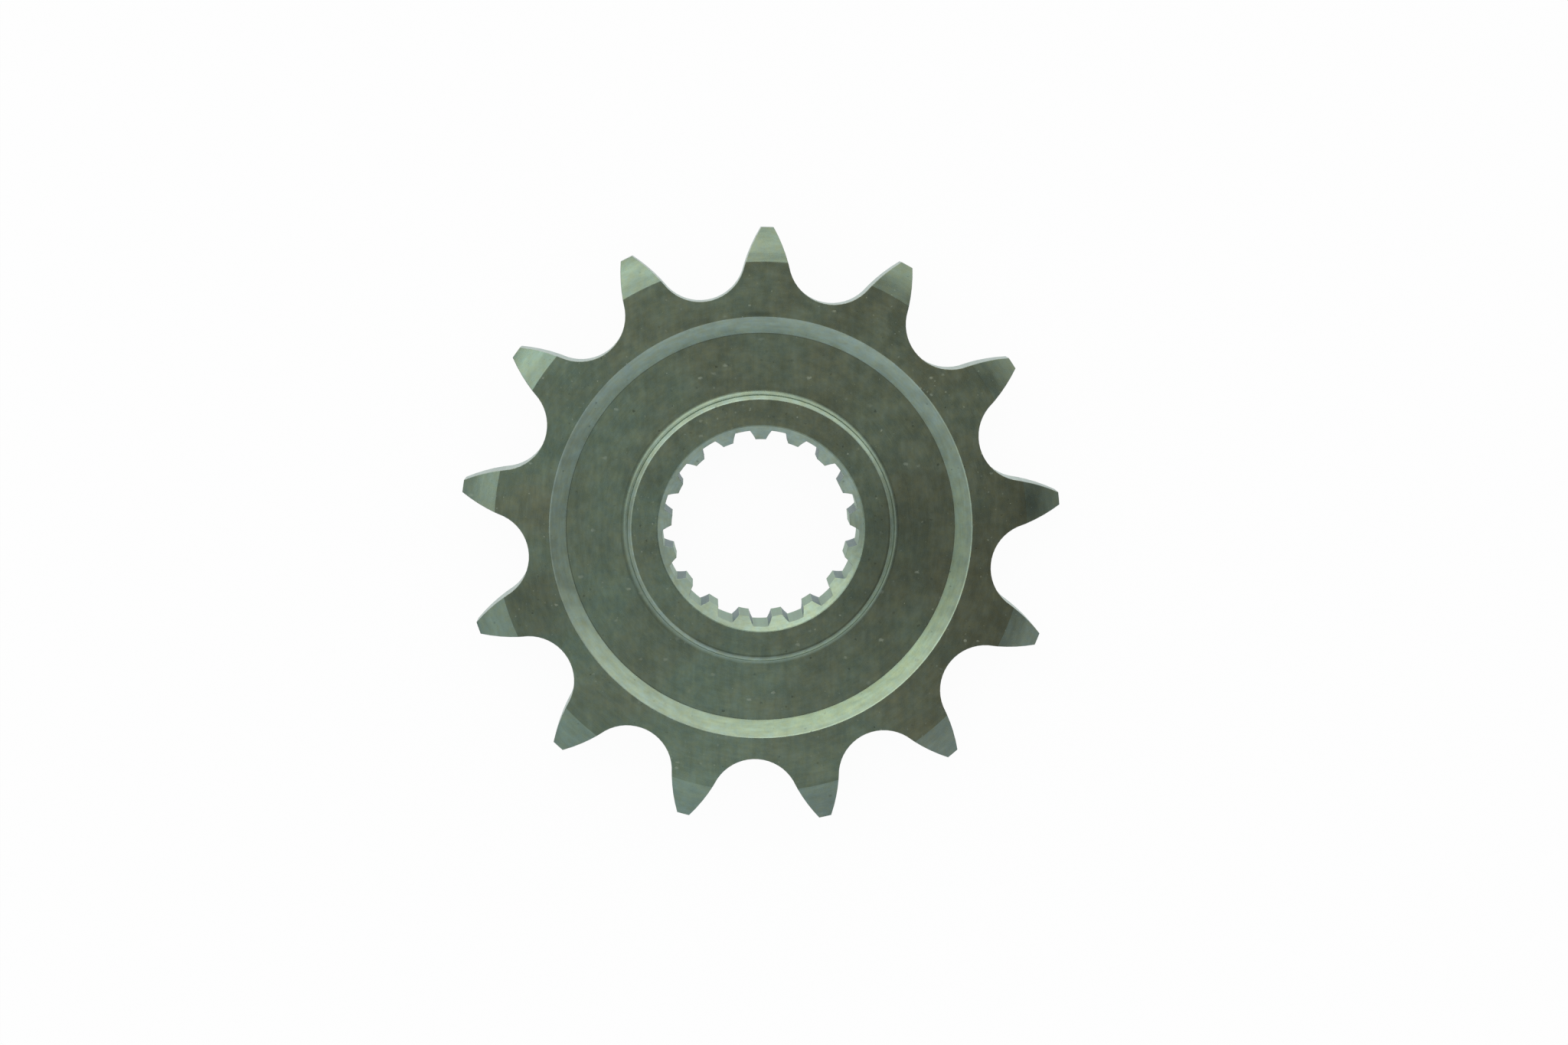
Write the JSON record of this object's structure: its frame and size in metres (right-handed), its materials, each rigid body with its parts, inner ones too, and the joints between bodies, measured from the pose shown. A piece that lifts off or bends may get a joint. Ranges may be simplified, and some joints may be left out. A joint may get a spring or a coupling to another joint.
{
  "type": "front sprocket",
  "caption": "Steel roller-chain sprocket with a splined bore, a raised hub on each face, a turned recess in the front and teeth bevelled towards their tips.",
  "frame": {"origin": "on the axis of the splined bore, in the plane of the rear hub face that the sprocket lies on", "axes": "+Z along the bore axis, out of the recessed front face; +Y through the middle of one spline tooth, about 1.3 degrees from the middle of one chain tooth"},
  "size_m": [0.072, 0.0717, 0.0087],
  "materials": {
    "machined_steel": "machined steel with a thin dark olive-grey tarnish, brighter on the turned bevels, slopes and chamfers"
  },
  "bodies": {
    "root": {"front_sprocket": "machined_steel"}
  },
  "joints": []
}
